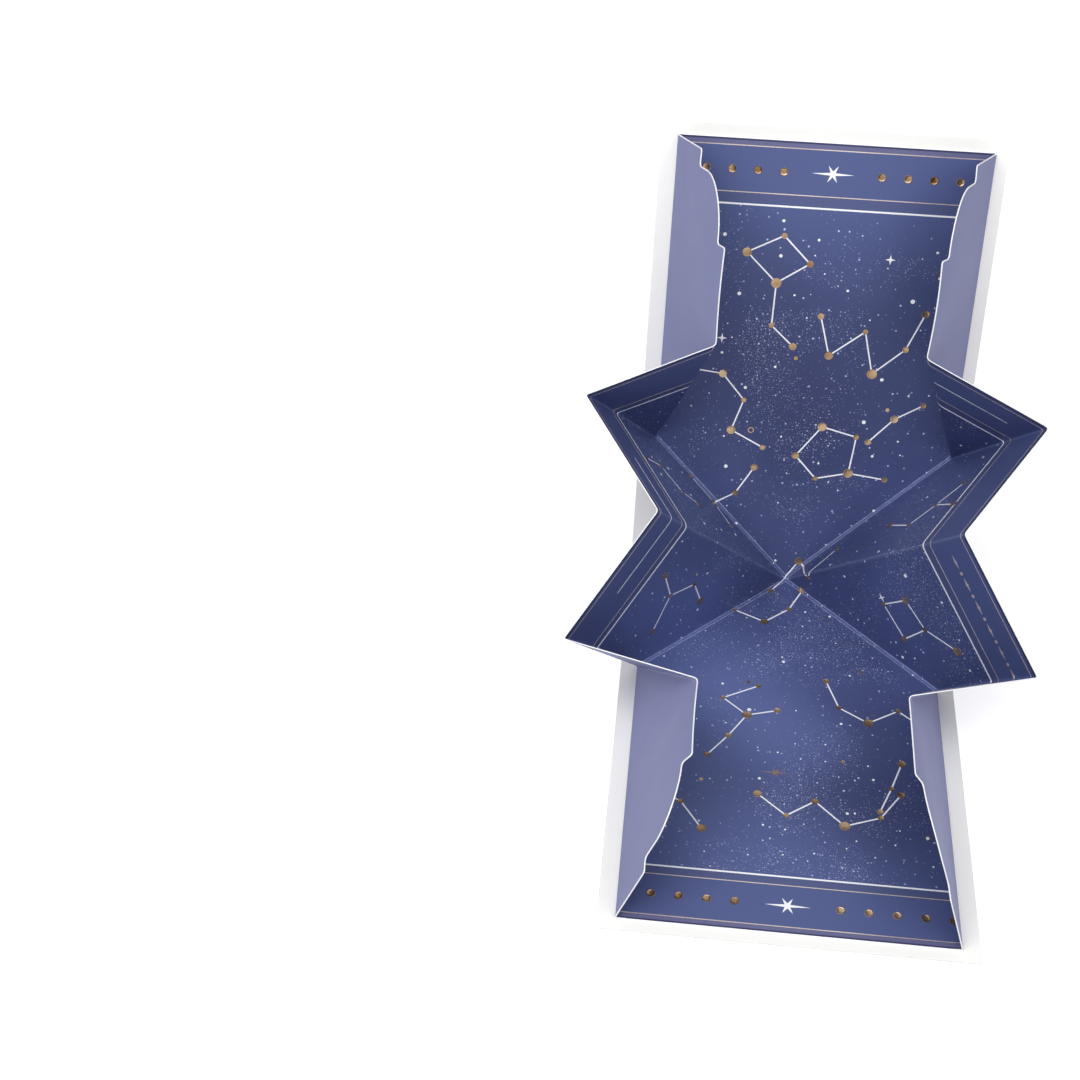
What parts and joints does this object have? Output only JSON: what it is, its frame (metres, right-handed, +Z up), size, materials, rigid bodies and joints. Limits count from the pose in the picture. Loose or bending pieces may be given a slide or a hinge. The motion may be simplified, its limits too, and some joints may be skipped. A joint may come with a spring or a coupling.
{
  "type": "pop-up greeting card",
  "caption": "Folded white card standing half open, with a die-cut navy sheet inside whose creased sides spring out as pointed gussets between four curved flaps.",
  "frame": {"origin": "centre of the outer face of the cover's lower half, the face that the card lies on", "axes": "+X along the spine, +Y from the front edge of the lower half towards the spine, +Z up"},
  "size_m": [0.1644, 0.2286, 0.1731],
  "materials": {
    "cover_card": "matte",
    "printed_sheet": "matte"
  },
  "bodies": {
    "root": {"cover": "cover_card", "popup_insert": "printed_sheet"}
  },
  "joints": []
}
